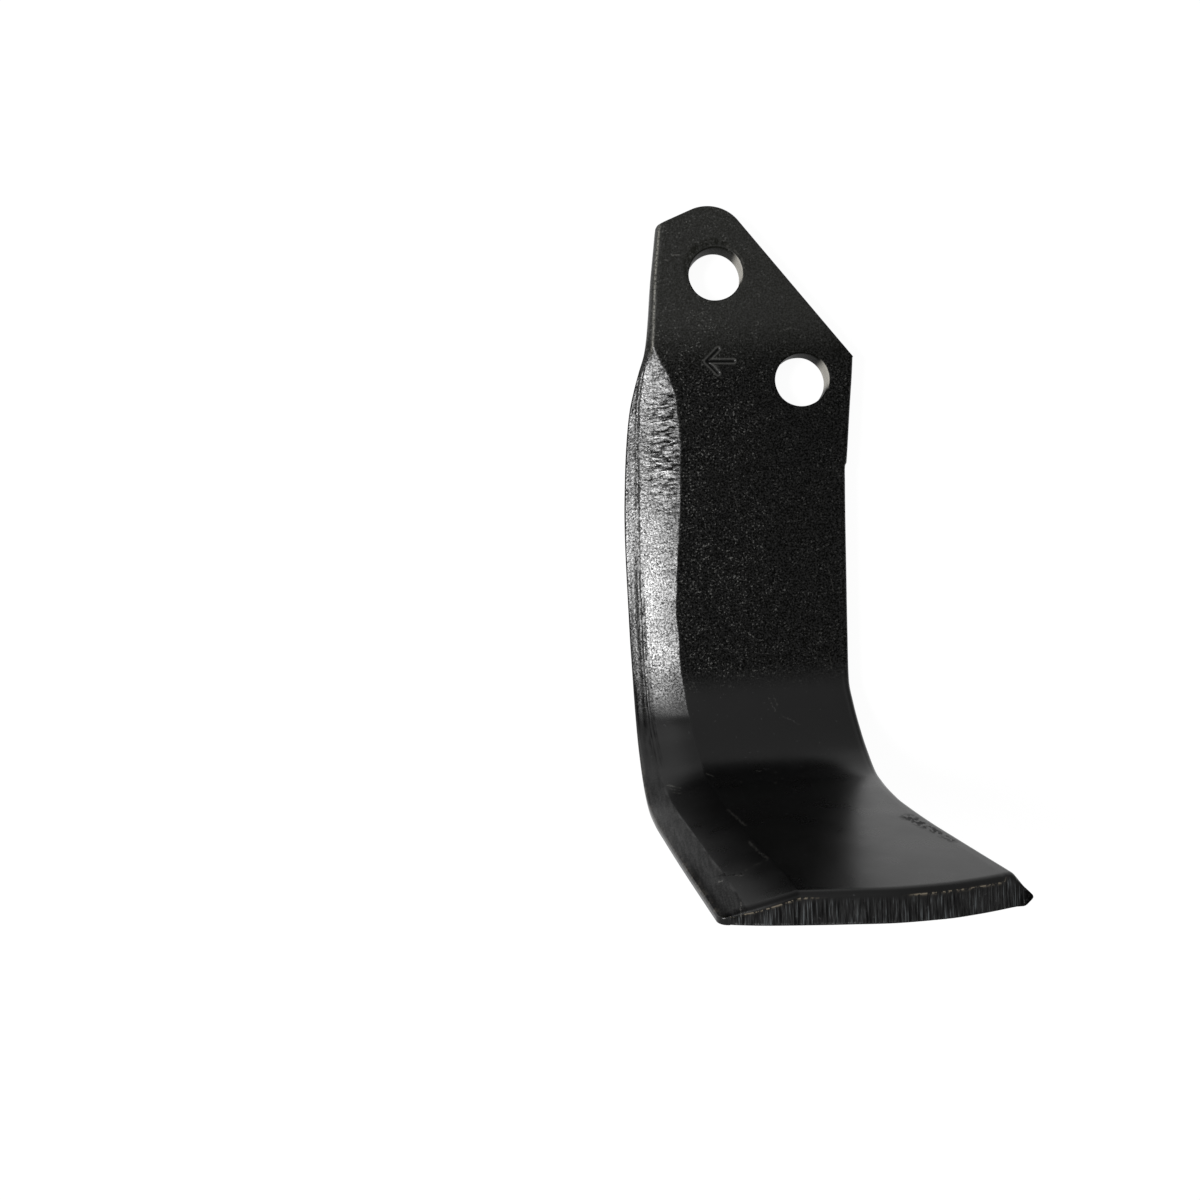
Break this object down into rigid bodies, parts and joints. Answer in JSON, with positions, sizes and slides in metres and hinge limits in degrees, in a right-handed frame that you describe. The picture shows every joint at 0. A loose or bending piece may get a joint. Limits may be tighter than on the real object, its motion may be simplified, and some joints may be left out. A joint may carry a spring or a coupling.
{
  "type": "rotary tiller blade",
  "caption": "L-shaped rotary tiller blade: a flat shank with two bolt holes bends upright into a bevelled cutting wing.",
  "frame": {"origin": "centre of the upper bolt hole on the shank's outer face, the face that lies on the rotor flange side opposite the wing", "axes": "+Z along the bolt holes towards the side the wing is bent to, +Y along the shank towards the bolt end, +X towards the blunt back edge"},
  "size_m": [0.0911, 0.2016, 0.1104],
  "materials": {
    "blade_paint": "black paint over forged spring steel, semi-gloss, fine orange peel, scuffed edges"
  },
  "bodies": {
    "root": {"blade": "blade_paint"}
  },
  "joints": []
}
